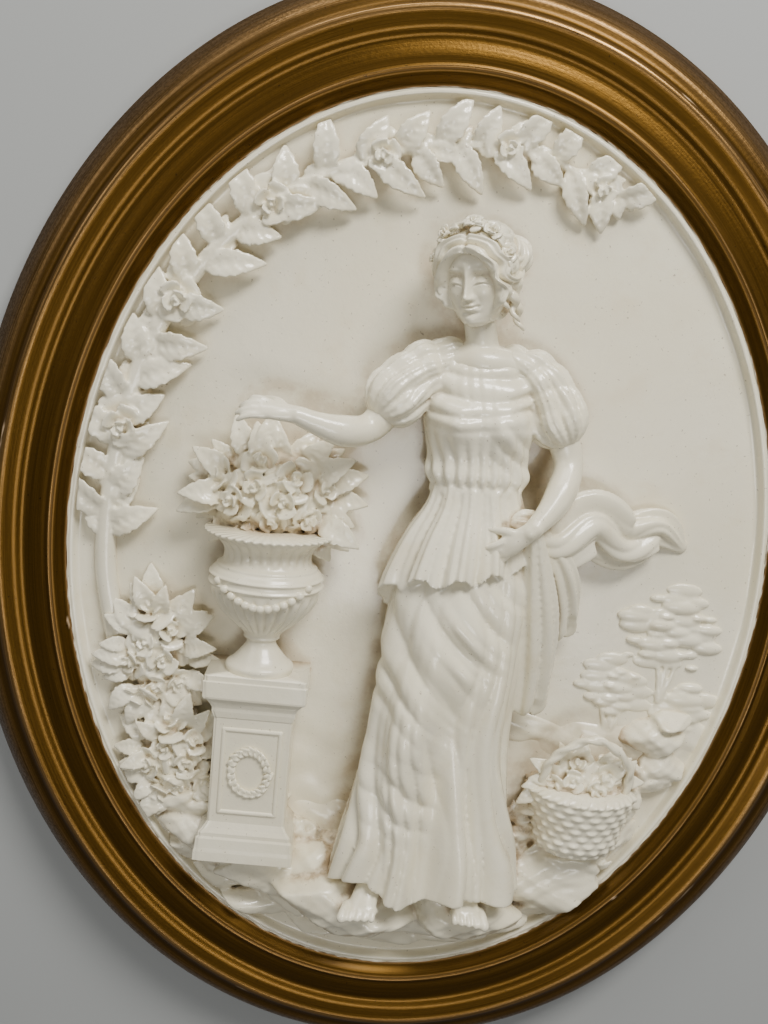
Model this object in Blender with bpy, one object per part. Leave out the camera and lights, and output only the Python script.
"""Oval relief plaque: a cast plaster relief panel set in a moulded gilt oval frame.

Units are metres with +Z up. The front faces -Y, the back lies on Y = 0 and the origin is on the
frame's flat back, in the middle of the band at the top, where the plaque hangs.
"""
import math

import bmesh
import bpy
import numpy as np

for old in list(bpy.data.objects):
    bpy.data.objects.remove(old)

TAU = 2 * math.pi

# Panel
SIGHT_HALF_WIDTH = 0.1794     # white oval seen inside the frame, at the top of its rim
SIGHT_HALF_HEIGHT = 0.2315
SLAB = 0.020                  # back to the plain ground of the relief
RIM_RISE = 0.005              # the rim stands this much over the ground
RIM_SLOPE = 0.0024            # width of the bevel from the rim down to the ground
FLANGE = 0.005                # the panel's edge reaches this far under the frame
FLANGE_THICK = 0.012
CLEARANCE = 0.0003            # between panel and frame

# Frame
FRAME_WIDTH = 0.0543
BEAD_RISE = 0.0055            # heights of the moulding over the panel's rim
HOLLOW_RISE = 0.0046
SHOULDER_RISE = 0.0070
CREST_RISE = 0.0077
GROOVE_RISE = 0.0045
OUTER_DROP = 0.0099           # outer edge under the panel's rim

# Relief
RELIEF_RISE = 0.0580          # highest point of the figure over the ground
FUSE_CELL = 0.0026            # cell in which the carving's bodies are fused
GROUND_STEP = 0.0005          # no corner of the carving stays nearer the ground than this
WELD = 0.00002                # corners nearer than this are one
SEGMENTS = 72
RELIEF_FACES = 4660           # triangles left on the carving before it joins the slab

front = SLAB + RIM_RISE
centre_z = -(SIGHT_HALF_HEIGHT + CLEARANCE + FLANGE + (FRAME_WIDTH - FLANGE) / 2)

# The relief is drawn in millimetres for a panel 359 x 463 that rises 66, then scaled to this one.
scale_x = SIGHT_HALF_WIDTH / 179.4
scale_z = SIGHT_HALF_HEIGHT / 231.5
scale_d = RELIEF_RISE / 66.0
SUNK = -6.0                   # how far the relief's bodies reach into the slab


def material(name, colour, roughness, metallic):
    m = bpy.data.materials.new(name)
    m.use_nodes = True
    shader = m.node_tree.nodes["Principled BSDF"]
    shader.inputs["Base Color"].default_value = (*colour, 1.0)
    shader.inputs["Roughness"].default_value = roughness
    shader.inputs["Metallic"].default_value = metallic
    return m


def link(name, mesh, mat):
    o = bpy.data.objects.new(name, mesh)
    bpy.context.scene.collection.objects.link(o)
    if mat is not None:
        mesh.materials.append(mat)
    return o


def oval_sweep(name, profile, mat, solid=True):
    """Sweep a closed profile of (outward from the sight line, depth from the back) around the oval."""
    bm = bmesh.new()
    loops = []
    for i in range(SEGMENTS):
        t = TAU * i / SEGMENTS
        x, z = SIGHT_HALF_WIDTH * math.cos(t), SIGHT_HALF_HEIGHT * math.sin(t)
        nx, nz = math.cos(t) / SIGHT_HALF_WIDTH, math.sin(t) / SIGHT_HALF_HEIGHT
        k = math.hypot(nx, nz)
        nx, nz = nx / k, nz / k
        loops.append([bm.verts.new((x + nx * u, -d, z + nz * u + centre_z)) for u, d in profile])
    n = len(profile)
    for i in range(SEGMENTS):
        a, b = loops[i], loops[(i + 1) % SEGMENTS]
        for j in range(n if solid else n - 1):
            k = (j + 1) % n
            bm.faces.new((a[j], a[k], b[k], b[j]))
    if not solid:
        bm.faces.new([ring[0] for ring in loops])
        bm.faces.new([ring[-1] for ring in loops])
    bmesh.ops.recalc_face_normals(bm, faces=bm.faces)
    mesh = bpy.data.meshes.new(name)
    bm.to_mesh(mesh)
    bm.free()
    return link(name, mesh, mat)


def frame_profile():
    """Section of the moulding: cove, bead, shallow hollow, shoulder, crest, groove, round outer band."""
    w = FRAME_WIDTH - CLEARANCE
    u0 = CLEARANCE
    pts = [(u0, front)]
    for share, rise in ((0.022, 0.09 * BEAD_RISE), (0.046, 0.27 * BEAD_RISE), (0.074, 0.56 * BEAD_RISE),
                        (0.107, 0.83 * BEAD_RISE), (0.135, 0.88 * BEAD_RISE), (0.156, BEAD_RISE),
                        (0.178, 0.90 * BEAD_RISE), (0.231, 0.94 * BEAD_RISE), (0.296, 1.08 * HOLLOW_RISE),
                        (0.361, HOLLOW_RISE), (0.407, 1.03 * HOLLOW_RISE), (0.435, 1.20 * HOLLOW_RISE),
                        (0.463, 0.94 * SHOULDER_RISE), (0.500, SHOULDER_RISE), (0.574, 1.01 * SHOULDER_RISE),
                        (0.606, 0.98 * CREST_RISE), (0.626, CREST_RISE), (0.663, 0.82 * CREST_RISE),
                        (0.700, 1.08 * GROOVE_RISE), (0.768, 0.98 * GROOVE_RISE), (0.843, 0.40 * GROOVE_RISE),
                        (0.926, -0.41 * OUTER_DROP)):
        pts.append((u0 + share * w, front + rise))
    pts.append((u0 + w, front - OUTER_DROP))
    pts.append((u0 + w, 0.0))
    seat = FLANGE + CLEARANCE
    pts += [(seat, 0.0), (seat, FLANGE_THICK + CLEARANCE), (u0, FLANGE_THICK + CLEARANCE)]
    return pts


# Relief bodies, in millimetres from the oval's centre: x to the right, z up, d out of the ground.

def curve_through(knots, values, at):
    """Cubic Hermite curve through values at knots, each slope taken across its two neighbours."""
    knots = np.asarray(knots, float)
    values = np.asarray(values, float)
    at = np.clip(np.asarray(at, float), knots[0], knots[-1])
    slopes = np.gradient(values, knots, axis=0)
    i = np.clip(np.searchsorted(knots, at, side="right") - 1, 0, len(knots) - 2)
    h = knots[i + 1] - knots[i]
    u = (at - knots[i]) / h
    if values.ndim > 1:
        u = u[..., None]
        h = h[..., None]
    start = (1 + 2 * u) * (1 - u) ** 2 * values[i] + u * (1 - u) ** 2 * h * slopes[i]
    return start + u * u * (3 - 2 * u) * values[i + 1] + u * u * (u - 1) * h * slopes[i + 1]


def unit(v):
    return v / np.maximum(np.linalg.norm(v, axis=-1, keepdims=True), 1e-9)


def limb(points, radii, n_v=14, n_u=12, across=(0, 0, 1)):
    """Rings along a curve through points, with (wide, deep) radii and a round end each way."""
    points = np.asarray(points, float)
    radii = np.asarray([r if np.ndim(r) else (r, r) for r in radii], float)
    at = np.r_[0, np.cumsum(np.linalg.norm(np.diff(points, axis=0), axis=1))]
    s = np.linspace(0, at[-1], n_v)
    c = curve_through(at, points, s)
    r = np.maximum(curve_through(at, radii, s), 0.3)
    along = unit(np.gradient(c, axis=0))
    side = unit(np.cross(along, np.asarray(across, float)))
    up = np.cross(side, along)
    t = np.linspace(0, TAU, n_u, endpoint=False)[None, :, None]
    body = c[:, None] + r[:, None, :1] * np.cos(t) * side[:, None] + r[:, None, 1:] * np.sin(t) * up[:, None]
    ends = []
    for k, way in ((0, -1), (-1, 1)):
        size = r[k].mean()
        cap = [c[k] + along[k] * way * size * math.cos(a) + (body[k] - c[k]) * math.sin(a)
               for a in (0.25, 0.7, 1.15)]
        ends.append(np.stack(cap if way < 0 else cap[::-1]))
    return np.concatenate([ends[0], body, ends[1]])


def ball(centre, radii, n_v=10, n_u=14):
    a = np.linspace(0.05, math.pi - 0.05, n_v)[:, None]
    t = np.linspace(0, TAU, n_u, endpoint=False)[None, :]
    p = np.stack([np.sin(a) * np.cos(t), np.cos(a) + 0 * t, np.sin(a) * np.sin(t)], -1)
    return p * np.asarray(radii, float) + np.asarray(centre, float)


def upright(knots, centre_x, half_x, centre_d, half_d, n_v=30, n_u=36, power=0.95):
    """Rings stacked up the z axis; power under 1 squares their section."""
    z = np.linspace(knots[0], knots[-1], n_v)[:, None]
    t = np.linspace(0, TAU, n_u, endpoint=False)[None, :]
    c, s = np.cos(t), np.sin(t)
    x = curve_through(knots, centre_x, z) + curve_through(knots, half_x, z) * np.sign(c) * np.abs(c) ** power
    d = curve_through(knots, centre_d, z) + curve_through(knots, half_d, z) * np.sign(s) * np.abs(s) ** power
    return np.stack([x, z + 0 * x, d], -1), t


def gown():
    knots = [-172, -150, -120, -88, -40, -5, 20, 38, 50]
    p, t = upright(knots, [20, 20, 19, 19, 21, 22, 23.5, 24, 23.5], [50, 46, 40, 36.5, 35.5, 34, 28, 21, 20],
                   [26, 26, 25, 24, 23, 22, 21, 20, 20], [28, 26, 24, 22, 23, 23, 19, 15.5, 15], 44, 60)
    x, z = p[..., 0], p[..., 1]
    knee_x = curve_through([-172, -130, -82, -40, 0], [-4, -3, 1, 8, 13], z)
    bend = curve_through([-172, -140, -110, -82, -55, -20, 10], [1, 3, 7, 13, 10.5, 5, 0], z)
    facing = np.clip(np.sin(t) * 2 + 0.4, 0, 1)
    drop = np.clip((20 - z) / 190, 0, 1)
    folds = 5.5 * drop * np.cos(9 * t + 0.9 * np.sin(z / 38)) * (1 - 0.8 * np.exp(-((x - knee_x) / 12) ** 2))
    p[..., 2] += facing * (bend * np.exp(-((x - knee_x) / 15) ** 2) + folds)
    return p


def bodice():
    p, t = upright([36, 46, 56, 68, 80, 92, 102, 109, 116], [24, 23.5, 23, 22, 21, 20, 19.5, 19, 19],
                   [21, 20, 22.5, 25.5, 27.5, 27.5, 28, 20, 9], [20, 20, 20, 21, 22, 21.5, 20.5, 20, 20],
                   [15, 14.5, 16, 17.5, 18, 16.5, 14, 11, 8], 22, 28, 1.0)
    for side in (-1, 1):
        swell = np.exp(-((p[..., 0] - 21.5 - side * 12.2) / 8.8) ** 2 - ((p[..., 1] - 77) / 9.5) ** 2)
        p[..., 2] += np.clip(np.sin(t), 0, 1) * 6 * swell
    return p


def overfold():
    """Cloth that hangs over the belt down to the hips, with a fluted edge."""
    down = np.linspace(0, 1, 10)[:, None]
    t = np.linspace(0, TAU, 44, endpoint=False)[None, :]
    low = -3 + 13 * np.cos(t - 0.7) + 2.6 * np.cos(11 * t)
    z = 47 + (low - 47) * down
    knots = [-30, 0, 22, 38, 50]
    swell = 1 + 0.05 * down * np.cos(11 * t)
    x = curve_through(knots, [22, 22, 23.5, 24, 23.5], z) + curve_through(knots, [42, 38, 31.5, 23.5, 20.5], z) * np.cos(t) * swell
    d = 22 + curve_through(knots, [30, 28, 23, 17.5, 15.5], z) * np.sin(t) * swell
    return np.stack([x, z, d], -1)


def hand(wrist, out, across, palm):
    wrist = np.asarray(wrist, float)
    out, across, palm = (unit(np.asarray(v, float)) for v in (out, across, palm))
    rings = [limb([wrist - out * 3, wrist + out * 6, wrist + out * 15], [(4.4, 4.4), (5.2, 3.6), (5.4, 2.8)], 6, 9, palm)]
    for i, length in enumerate((13.5, 15, 14, 11)):
        base = wrist + out * 14 + across * (i - 1.5) * 2.6
        tip = base + unit(out + across * (i - 1.5) * 0.1) * length
        rings.append(limb([base, (base + tip) / 2 + palm * 1.2, tip + palm * 4], [2.0, 1.9, 1.6], 6, 7))
    thumb = wrist + out * 5 + across * 3
    rings.append(limb([thumb, thumb + (out + across * 0.7) * 6, thumb + (out + across * 0.4) * 12], [2.6, 2.3, 1.7], 6, 7))
    return rings


def foot(heel, toe, big):
    heel, toe = np.asarray(heel, float), np.asarray(toe, float)
    way = unit(toe - heel)
    lateral = unit(np.cross(way, (0, 1, 0)))
    lift = np.array([0, 6.0, 0])
    rings = [limb([heel + lift, heel + (toe - heel) * 0.4 + lift, toe], [(6, 8), (6.8, 6.4), (7.8, 3)], 8, 10, (0, 1, 0.01))]
    for i in range(5):
        b = toe + lateral * (i - 2) * 3.0 * big - way * 0.8 * (4 - i)
        rings.append(limb([b - way * 3, b + way * 4.5], [2.3, 2.0 if i < 4 else 2.6], 4, 7))
    return rings


def figure():
    rings = [gown(), bodice(), overfold()]
    rings.append(limb([(4, 45, 20), (24, 45, 20), (43, 45, 20)], [(4, 15), (4.5, 18), (4, 15)], 12, 12, (0, 0, 1)))
    rings.append(limb([(20, 103, 19), (18, 116, 21), (15, 128, 24), (13, 138, 26)], [(11, 9.5), 8.2, 8, 8], 8, 12))
    rings.append(limb([(-5, 103, 20), (6, 106.5, 21), (19.5, 107, 22.5), (33, 106, 21), (46, 101.5, 20)],
                      [9.5, (8.5, 9.5), (9, 11.5), (8.5, 9.5), 9.5], 12, 12))
    # head with its hair, nose, chin and knot
    rings += [ball((12, 147, 31), (15.6, 22.5, 19.5), 14, 18), ball((13.5, 151, 27.5), (18.4, 22, 20.5), 14, 18)]
    rings.append(limb([(6.5, 149, 49.5), (4.6, 139.5, 52.6)], [1.5, 2.5], 5, 7))
    rings += [ball((6.5, 128.5, 44), (5.5, 4, 4)), ball((28, 153, 20), (11, 10, 10))]
    arms = (([(-6, 103, 20), (-19, 88, 27), (-33, 71, 34), (-45, 70, 42), (-57, 73, 47), (-66, 76, 49)],
             [(4, 108, 20), (-5, 103, 21), (-14, 95, 25), (-21, 87, 29)]),
            ([(46, 101, 20), (57, 84, 22), (67, 62, 24), (63, 48, 34), (55, 37, 43), (49, 31, 47)],
             [(35, 108, 20), (45, 102, 20), (53, 93, 21), (59, 83, 23)]))
    for bare, sleeve in arms:
        rings.append(limb(bare, [10.5, (8.8, 9.4), 7.4, (7.2, 7.6), 5.5, 4.6], 18, 12))
        rings.append(limb(sleeve, [9, 12.5, 13.3, 14], 8, 14))
    rings += hand((-66, 76, 49), (-0.97, 0.12, 0.1), (0.05, 0.8, -0.6), (-0.1, -0.75, -0.6))
    rings += hand((49, 31, 47), (-0.72, -0.62, -0.1), (-0.5, 0.62, 0.25), (0.1, 0.1, -1))
    rings += foot((-5, -170, 26), (-14, -177, 57), 1) + foot((38, -170, 24), (44, -177, 52), -1)
    return rings


def scarf():
    """A loose end of cloth that blows out to the right from the hand on the hip."""
    path = [(46, 30, 34), (64, 24, 28), (84, 34, 18), (104, 24, 10), (122, 31, 5), (136, 22, 1)]
    return [limb(path, [(9, 5), (14, 6), (15, 6), (13, 5), (9, 4), (3.5, 2)], 22, 12)]


def stack(x, d, heights, halves, shallow, power, n_u):
    """Rings at the given heights round an upright axis; power near 0 makes the section square."""
    t = np.linspace(0, TAU, n_u, endpoint=False)[None, :]
    c, s = np.cos(t), np.sin(t)
    half = np.asarray(halves, float)[:, None]
    wide = half * np.sign(c) * np.abs(c) ** power
    deep = (half - shallow) * np.sign(s) * np.abs(s) ** power
    return np.stack([x + wide, np.asarray(heights, float)[:, None] + 0 * t, d + deep], -1)


def pedestal_and_urn():
    x, d = -76.0, 16.0
    plinth = stack(x, d, [-162, -150, -147, -142, -84, -78, -72, -60], [26, 25, 24, 20, 20, 22.5, 26, 26], 6, 0.14, 32)
    heights = [-60, -56, -50, -44, -37, -28, -19, -10, -4, 1, 8, 14]
    bowl = [17, 16.5, 11, 7.5, 12, 21, 26.5, 28, 25.5, 21, 24, 31]
    return [plinth, stack(x, d + 2, heights, bowl, 0.5, 1.0, 24)]


def heap(centre, radii, size, count):
    """Round flower heads laid over a dome by the golden angle, each facing outwards."""
    rings = []
    for i in range(count):
        lift = (i + 0.5) / count
        angle = 2.399963 * i
        spread = math.sqrt(lift)
        offset = np.array([spread * math.cos(angle), spread * math.sin(angle), math.sqrt(1 - 0.8 * lift)])
        s = size * (1 - 0.25 * (i % 3) / 2)
        rings.append(ball(np.asarray(centre) + offset * radii, (s, s, s * 0.8), 7, 9))
    return rings


def rocks():
    """Boulders along the foot of the oval, and a ledge of larger ones under the figure's feet."""
    rings = []
    for count, start, sweep, least, most, wave, reach, wander, turn in ((24, -140, 118, 7, 6, 2.3, 0.855, 0.045, 1.7),
                                                                        (12, -134, 92, 8, 5, 1.9, 0.75, 0.035, 2.1)):
        for i in range(count):
            a = math.radians(start + sweep * i / (count - 1))
            size = least + most * math.sin(i * wave) ** 2
            far = reach + wander * math.sin(i * turn)
            at = (179 * far * math.cos(a), 226 * far * math.sin(a), 2)
            rings.append(ball(at, (size * 1.35, size * 0.8, 5 + size * 0.7), 7, 10))
    for x, z, d, wide, tall, deep in ((-14, -189, 22, 30, 12, 26), (44, -188, 18, 30, 12, 26), (14, -195, 9, 52, 13, 16),
                                      (-54, -177, 9, 28, 14, 19), (-82, -168, 7, 19, 12, 17), (-102, -156, 6, 15, 10, 15),
                                      (-38, -170, 10, 17, 12, 16), (80, -170, 6, 22, 13, 14), (104, -156, 4, 17, 11, 12),
                                      (122, -140, 2, 14, 11, 10)):
        rings.append(ball((x, z, d), (wide, tall, deep), 10, 16))
    return rings


def bough():
    """A slender leafy tree that arches over the figure from the left edge."""
    path = np.array([(-152, -58, 1), (-160, -18, 2.5), (-158, 36, 4), (-146, 92, 5), (-113, 148, 6),
                     (-68, 185, 6), (-18, 204, 5), (36, 206, 4), (84, 186, 3)], float)
    rings = [limb(path, [6.0, 5.4, 4.8, 4.4, 4.0, 3.4, 2.8, 2.2, 1.4], 30, 8)]
    knots = np.linspace(0, 1, len(path))
    for i in range(38):
        s = (i + 8) / 46
        root = curve_through(knots, path, np.array([s]))[0]
        way = unit(curve_through(knots, path, np.array([min(s + 0.02, 1)]))[0] - curve_through(knots, path, np.array([s - 0.02]))[0])
        turn = math.radians(50 + 14 * math.sin(i * 2.7)) * (1 if i % 2 else -1)
        out = np.array([way[0] * math.cos(turn) - way[1] * math.sin(turn), way[0] * math.sin(turn) + way[1] * math.cos(turn), 0.14])
        length = 31 - 8 * s + 4 * math.sin(i * 1.9)
        rings.append(limb([root, root + out * length * 0.5, root + out * length], [(1.5, 4), (7.4 - 1.4 * s, 4.5), (1.0, 2.5)], 7, 8))
    return rings


def relief_mesh(rings_list):
    bm = bmesh.new()
    for rings in rings_list:
        rings = np.array(rings)
        rings[..., 2] = np.maximum(rings[..., 2], SUNK)
        x = rings[..., 0] * scale_x
        y = -(SLAB + rings[..., 2] * scale_d)
        z = rings[..., 1] * scale_z
        # what would cross the rim is pressed back to the foot of its slope
        over = np.hypot(x / (SIGHT_HALF_WIDTH - RIM_SLOPE), z / (SIGHT_HALF_HEIGHT - RIM_SLOPE)) * 1.01
        x, z = x / np.maximum(over, 1), z / np.maximum(over, 1) + centre_z
        loops = [[bm.verts.new(co) for co in zip(x[v], y[v], z[v])] for v in range(len(rings))]
        for a, b in zip(loops, loops[1:]):
            for j in range(len(a)):
                k = (j + 1) % len(a)
                bm.faces.new((a[j], a[k], b[k], b[j]))
        bm.faces.new(loops[0][::-1])
        bm.faces.new(loops[-1])
    bmesh.ops.recalc_face_normals(bm, faces=bm.faces)
    mesh = bpy.data.meshes.new("relief")
    bm.to_mesh(mesh)
    bm.free()
    return mesh


def apply_modifiers(o):
    evaluated = o.evaluated_get(bpy.context.evaluated_depsgraph_get())
    mesh = bpy.data.meshes.new_from_object(evaluated)
    o.modifiers.clear()
    o.data = mesh


def keep_outer_skin(o):
    """Keep the largest joined shell, so no pocket is left sealed between the carving's bodies."""
    bm = bmesh.new()
    bm.from_mesh(o.data)
    left = set(bm.verts)
    shells = []
    while left:
        group = {left.pop()}
        edge_of = list(group)
        while edge_of:
            near = {e.other_vert(v) for v in edge_of for e in v.link_edges} - group
            group |= near
            edge_of = list(near)
        left -= group
        shells.append(group)
    largest = max(shells, key=len)
    bmesh.ops.delete(bm, geom=[v for v in bm.verts if v not in largest], context="VERTS")
    bmesh.ops.triangulate(bm, faces=bm.faces)
    bmesh.ops.remove_doubles(bm, verts=bm.verts, dist=WELD)
    bmesh.ops.dissolve_degenerate(bm, edges=bm.edges, dist=WELD / 2)
    bm.to_mesh(o.data)
    bm.free()


gilt = material("gilt_bronze_paint", (0.36, 0.22, 0.07), 0.38, 0.85)
cream = material("cream_gloss_paint", (0.78, 0.75, 0.66), 0.28, 0.0)

frame = oval_sweep("gilt_frame", frame_profile(), gilt)

panel = oval_sweep("relief_panel", [(-RIM_SLOPE, SLAB), (-0.2 * RIM_SLOPE, front), (0.0, front), (0.0, FLANGE_THICK),
                                    (FLANGE, FLANGE_THICK), (FLANGE, 0.0)], cream, solid=False)

forms = figure() + scarf() + pedestal_and_urn() + rocks() + bough()
forms += heap((-76, 31, 4), np.array([32, 23, 26]), 11, 16)
forms += heap((-131, -62, 2), np.array([18, 31, 9]), 9.5, 10)
forms += heap((-116, -118, 4), np.array([21, 25, 9]), 9.5, 10)
forms += heap((100, -108, 8), np.array([24, 13, 18]), 9, 11)
forms.append(stack(100, 12, [-148, -144, -132, -120, -114, -110], [17, 21, 24, 27, 28, 26], 2, 1.0, 18))
carving = link("relief_guide", relief_mesh(forms), None)
fuse = carving.modifiers.new("fuse", "REMESH")
fuse.mode = "VOXEL"
fuse.voxel_size = FUSE_CELL
apply_modifiers(carving)

thin = carving.modifiers.new("thin", "DECIMATE")
thin.ratio = min(1.0, RELIEF_FACES / (2 * len(carving.data.polygons)))
apply_modifiers(carving)
# no corner of the carving lies just on the ground, where the join would leave slivers
for v in carving.data.vertices:
    if abs(v.co.y + SLAB) < GROUND_STEP:
        v.co.y = GROUND_STEP - SLAB
join = panel.modifiers.new("join", "BOOLEAN")
join.operation = "UNION"
join.solver = "EXACT"
join.object = carving
apply_modifiers(panel)
bpy.data.objects.remove(carving)
keep_outer_skin(panel)
for o in (frame, panel):
    o.data.shade_smooth()
    o.data.set_sharp_from_angle(angle=math.radians(38))

for o in (frame, panel):
    print(o.name, sum(len(p.vertices) - 2 for p in o.data.polygons), "triangles")
